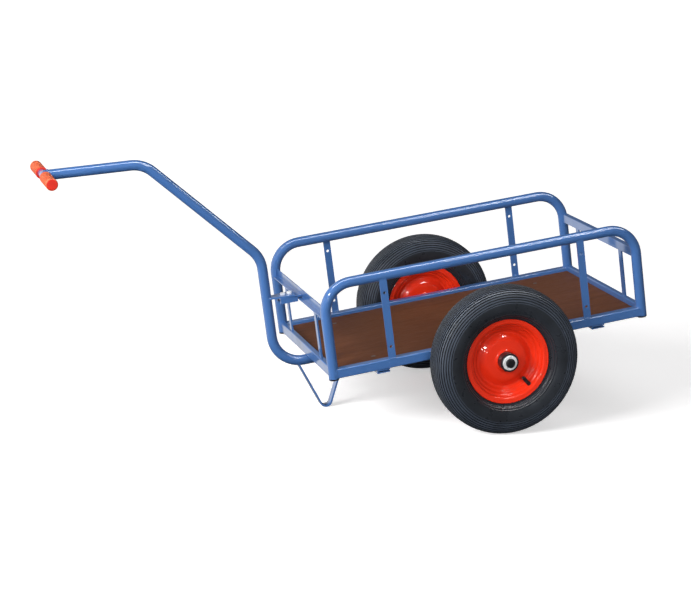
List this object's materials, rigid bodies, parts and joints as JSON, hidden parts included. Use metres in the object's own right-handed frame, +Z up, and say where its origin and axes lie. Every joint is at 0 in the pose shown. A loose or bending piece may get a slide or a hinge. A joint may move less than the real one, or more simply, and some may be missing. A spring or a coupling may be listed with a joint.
{
  "type": "two-wheeled garden hand cart",
  "caption": "Hand cart with a low tube-railed plywood deck, pneumatic wheels on a fixed axle, a bent drawbar with a T handle, and a V-shaped prop under the drawbar.",
  "frame": {"origin": "on the floor, below the middle of the whole cart standing on its wheels and its prop", "axes": "+X from the handle towards the tail, along the floor; +Y along the axle, to the right of someone who stands in front of the cart and pulls it behind them; +Z up"},
  "size_m": [1.6127, 0.794, 0.7],
  "materials": {
    "blue_paint": "glossy enamel",
    "red_paint": "glossy enamel",
    "black_paint": "satin",
    "zinc": "bright zinc",
    "tyre": "matt",
    "tube_rubber": "matt",
    "valve_rubber": "satin",
    "grip": "knurled, satin",
    "board": "brown phenolic film",
    "black_plastic": "moulded"
  },
  "bodies": {
    "frame": {"axle": "zinc", "axle_bracket_left": "blue_paint", "axle_bracket_right": "blue_paint", "axle_cap_left": "black_plastic", "axle_cap_right": "black_plastic", "axle_spacer_left": "zinc", "axle_spacer_right": "zinc", "board_screws": "zinc", "cross_member_front": "blue_paint", "cross_member_rear": "blue_paint", "drawbar": "blue_paint", "drawbar_bolts": "zinc", "drawbar_nuts": "zinc", "drawbar_plate": "blue_paint", "end_upright_front_left": "blue_paint", "end_upright_front_right": "blue_paint", "end_upright_rear_left": "blue_paint", "end_upright_rear_right": "blue_paint", "frame_lug": "blue_paint", "front_bottom_rail": "blue_paint", "front_top_rail": "blue_paint", "grip_left": "grip", "grip_right": "grip", "handle_crossbar": "blue_paint", "hub_washer_left": "zinc", "hub_washer_right": "zinc", "leg_cap_front_left": "black_plastic", "leg_cap_front_right": "black_plastic", "leg_cap_rear_left": "black_plastic", "leg_cap_rear_right": "black_plastic", "platform_board": "board", "prop": "blue_paint", "rear_bottom_rail": "blue_paint", "rear_top_rail": "blue_paint", "side_rail_left": "blue_paint", "side_rail_right": "blue_paint", "side_tube_left": "blue_paint", "side_tube_right": "blue_paint", "side_upright_front_left": "blue_paint", "side_upright_front_right": "blue_paint", "side_upright_rear_left": "blue_paint", "side_upright_rear_right": "blue_paint"},
    "wheel_left": {"bearing_inner_left": "zinc", "bearing_outer_left": "zinc", "hub_left": "black_paint", "inner_tube_left": "tube_rubber", "rim_left": "red_paint", "tyre_left": "tyre", "valve_left": "valve_rubber"},
    "wheel_right": {"bearing_inner_right": "zinc", "bearing_outer_right": "zinc", "hub_right": "black_paint", "inner_tube_right": "tube_rubber", "rim_right": "red_paint", "tyre_right": "tyre", "valve_right": "valve_rubber"}
  },
  "joints": [
    {"name": "wheel_left_spin", "type": "hinge", "parent": "frame", "child": "wheel_left", "pos_m": [0.36833, -0.344, 0.2], "axis": [0, 1, 0], "continuous": true},
    {"name": "wheel_right_spin", "type": "hinge", "parent": "frame", "child": "wheel_right", "pos_m": [0.36833, 0.344, 0.2], "axis": [0, 1, 0], "continuous": true}
  ]
}
